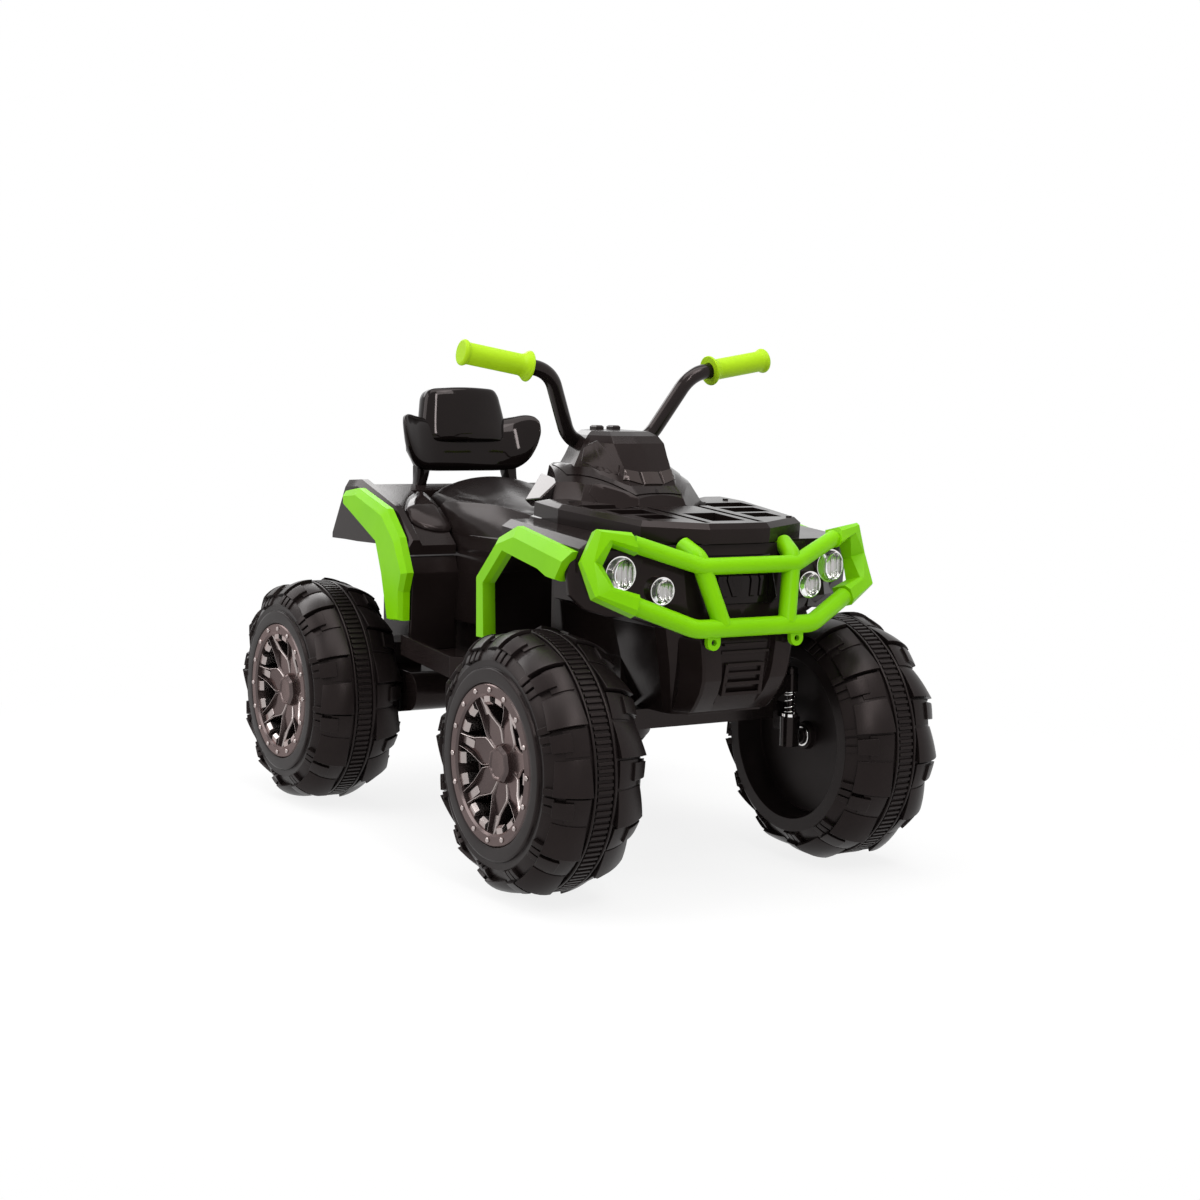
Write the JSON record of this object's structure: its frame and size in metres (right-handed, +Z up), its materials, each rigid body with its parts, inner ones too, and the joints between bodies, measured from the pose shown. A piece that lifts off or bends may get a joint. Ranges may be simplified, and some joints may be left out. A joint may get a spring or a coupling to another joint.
{
  "type": "kids quad bike",
  "caption": "Battery ride-on quad for a child: black body, bright green fender trims, bumper and grips, padded seat with back rest, lugged wheels, steering and front springs.",
  "frame": {"origin": "on the ground under the middle of the wheelbase", "axes": "+X forward, +Y to the rider's left, +Z up"},
  "size_m": [1.036, 0.626, 0.7182],
  "materials": {
    "body_plastic": "satin, slightly grained",
    "gloss_plastic": "polished",
    "green_plastic": "satin bright green",
    "tyre_plastic": "matte moulded",
    "rim_plastic": "gunmetal paint on plastic",
    "seat_cover": "satin leatherette over foam",
    "lamp_chrome": "bright",
    "lamp_clear": "fluted clear",
    "steel_black": "satin black paint",
    "steel_bright": "plated",
    "button_red": "polished red",
    "button_dark": "satin"
  },
  "bodies": {
    "chassis": {"floor_pan": "body_plastic", "centre_body": "body_plastic", "front_fenders": "body_plastic", "nose_cowl": "body_plastic", "grille": "body_plastic", "dash_cowl": "body_plastic", "rear_fenders": "body_plastic", "front_splash_walls": "body_plastic", "rear_splash_walls": "body_plastic", "front_rack": "body_plastic", "seat": "seat_cover", "backrest_shell": "gloss_plastic", "wing_pad": "gloss_plastic", "head_pad": "gloss_plastic", "bumper_lower_bar": "green_plastic", "bumper_upper_bar": "green_plastic", "bumper_uprights": "green_plastic", "bumper_corners": "green_plastic", "front_trim_left": "green_plastic", "front_trim_right": "green_plastic", "rear_trim_left": "green_plastic", "rear_trim_right": "green_plastic", "headlamp_bezels": "lamp_chrome", "headlamp_lenses": "lamp_clear", "front_axle_beam": "steel_black", "rear_axle": "steel_bright", "rear_axle_nuts": "steel_bright", "gearbox_left": "body_plastic", "gearbox_right": "body_plastic", "motor_left": "steel_bright", "motor_right": "steel_bright", "battery": "body_plastic", "control_box": "body_plastic", "front_spring_left": "steel_bright", "front_spring_right": "steel_bright", "rack_screws": "steel_black"},
    "steering": {"handlebar": "steel_black", "handlebar_pod": "body_plastic", "grip_left": "green_plastic", "grip_right": "green_plastic", "steering_column": "steel_black"},
    "linkage": {"steering_linkage": "steel_black"},
    "foot_pedal": {"foot_pedal": "body_plastic"},
    "start_button": {"start_button": "button_red"},
    "direction_switch": {"direction_switch": "button_dark"},
    "horn_button": {"horn_button": "button_dark"},
    "music_button": {"music_button": "button_dark"},
    "spring_cup_left": {"spring_cup_left": "steel_bright"},
    "knuckle_left": {"knuckle_left": "steel_black"},
    "wheel_front_left": {"tyre_front_left": "tyre_plastic", "rim_front_left": "rim_plastic"},
    "wheel_rear_left": {"tyre_rear_left": "tyre_plastic", "rim_rear_left": "rim_plastic"},
    "spring_cup_right": {"spring_cup_right": "steel_bright"},
    "knuckle_right": {"knuckle_right": "steel_black"},
    "wheel_front_right": {"tyre_front_right": "tyre_plastic", "rim_front_right": "rim_plastic"},
    "wheel_rear_right": {"tyre_rear_right": "tyre_plastic", "rim_rear_right": "rim_plastic"}
  },
  "joints": [
    {"name": "steer", "type": "hinge", "parent": "chassis", "child": "steering", "pos_m": [0.1195, 0, 0.5], "axis": [0, 0, 1], "range_deg": [-18, 18]},
    {"name": "link_swing", "type": "hinge", "parent": "steering", "child": "linkage", "pos_m": [0.0745, 0, 0.209], "axis": [0, 0, 1], "range_deg": [-18, 18]},
    {"name": "suspension_left", "type": "slide", "parent": "chassis", "child": "spring_cup_left", "axis": [0, 0, 1], "range_m": [0, 0.01], "stiffness_N_per_m": 8000, "springref_m": -0.008, "deforming": ["front_spring_left"]},
    {"name": "kingpin_left", "type": "hinge", "parent": "spring_cup_left", "child": "knuckle_left", "pos_m": [0.343, 0.17, 0.2], "axis": [0, 0, 1], "range_deg": [-18, 18]},
    {"name": "front_wheel_left", "type": "hinge", "parent": "knuckle_left", "child": "wheel_front_left", "pos_m": [0.343, 0.239, 0.175], "axis": [0, 1, 0], "continuous": true},
    {"name": "rear_wheel_left", "type": "hinge", "parent": "chassis", "child": "wheel_rear_left", "pos_m": [-0.343, 0.239, 0.175], "axis": [0, 1, 0], "continuous": true},
    {"name": "suspension_right", "type": "slide", "parent": "chassis", "child": "spring_cup_right", "axis": [0, 0, 1], "range_m": [0, 0.01], "stiffness_N_per_m": 8000, "springref_m": -0.008, "deforming": ["front_spring_right"]},
    {"name": "kingpin_right", "type": "hinge", "parent": "spring_cup_right", "child": "knuckle_right", "pos_m": [0.343, -0.17, 0.2], "axis": [0, 0, 1], "range_deg": [-18, 18]},
    {"name": "front_wheel_right", "type": "hinge", "parent": "knuckle_right", "child": "wheel_front_right", "pos_m": [0.343, -0.239, 0.175], "axis": [0, 1, 0], "continuous": true},
    {"name": "rear_wheel_right", "type": "hinge", "parent": "chassis", "child": "wheel_rear_right", "pos_m": [-0.343, -0.239, 0.175], "axis": [0, 1, 0], "continuous": true},
    {"name": "pedal_press", "type": "hinge", "parent": "chassis", "child": "foot_pedal", "pos_m": [0.058, -0.165, 0.267], "axis": [0, 1, 0], "range_deg": [0, 8], "stiffness_Nm_per_rad": 2, "springref_deg": -11.46},
    {"name": "start_press", "type": "slide", "parent": "chassis", "child": "start_button", "axis": [0, 0, -1], "range_m": [0, 0.0025], "stiffness_N_per_m": 400, "springref_m": -0.002},
    {"name": "direction_rock", "type": "hinge", "parent": "chassis", "child": "direction_switch", "pos_m": [0.069, -0.036, 0.493], "axis": [0, 1, 0], "range_deg": [-8, 8]},
    {"name": "horn_press", "type": "slide", "parent": "steering", "child": "horn_button", "axis": [0, 0, -1], "range_m": [0, 0.0016], "stiffness_N_per_m": 400, "springref_m": -0.002},
    {"name": "music_press", "type": "slide", "parent": "steering", "child": "music_button", "axis": [0, 0, -1], "range_m": [0, 0.0016], "stiffness_N_per_m": 400, "springref_m": -0.002}
  ],
  "couplings": [
    {"joint": "link_swing", "follows": "steer", "ratio": -1},
    {"joint": "kingpin_left", "follows": "steer", "ratio": 1},
    {"joint": "kingpin_right", "follows": "steer", "ratio": 1}
  ]
}
